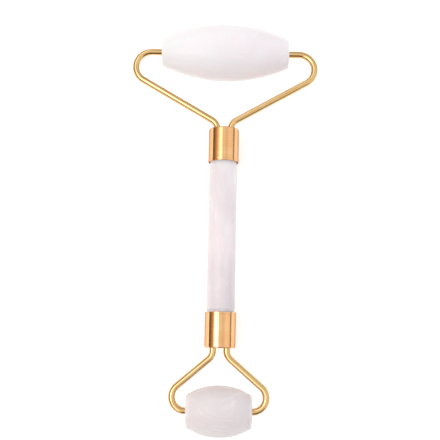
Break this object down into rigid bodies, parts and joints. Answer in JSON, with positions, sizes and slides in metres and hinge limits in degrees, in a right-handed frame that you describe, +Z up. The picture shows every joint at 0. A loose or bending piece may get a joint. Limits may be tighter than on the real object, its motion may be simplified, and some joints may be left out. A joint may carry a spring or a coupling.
{
  "type": "stone face roller",
  "caption": "Hand-held facial massage roller: a stone rod handle with gold ferrules, and at each end a bent-wire yoke that carries a free-turning stone roller.",
  "frame": {"origin": "under the middle of the object, on the plane that the large roller touches when the tool lies flat", "axes": "+Y along the handle towards the large roller, +X along the rollers' axles, +Z up, square to the plane of the yokes"},
  "size_m": [0.0674, 0.1466, 0.0203],
  "materials": {
    "handle_stone": "polished",
    "roller_stone": "polished",
    "gold": "polished",
    "bush": "satin",
    "epoxy": "gloss"
  },
  "bodies": {
    "handle_and_yokes": {"stone_handle": "handle_stone", "upper_ferrule": "gold", "lower_ferrule": "gold", "upper_potting": "epoxy", "lower_potting": "epoxy", "upper_wire_left": "gold", "upper_wire_right": "gold", "lower_wire_left": "gold", "lower_wire_right": "gold"},
    "large_roller_and_bushes": {"large_roller": "roller_stone", "large_roller_bush_left": "bush", "large_roller_bush_right": "bush"},
    "small_roller_and_bushes": {"small_roller": "roller_stone", "small_roller_bush_left": "bush", "small_roller_bush_right": "bush"}
  },
  "joints": [
    {"name": "large_roller_spin", "type": "hinge", "parent": "handle_and_yokes", "child": "large_roller_and_bushes", "pos_m": [0, 0.06315, 0.01015], "axis": [1, 0, 0], "continuous": true},
    {"name": "small_roller_spin", "type": "hinge", "parent": "handle_and_yokes", "child": "small_roller_and_bushes", "pos_m": [0, -0.0646, 0.01015], "axis": [1, 0, 0], "continuous": true}
  ]
}
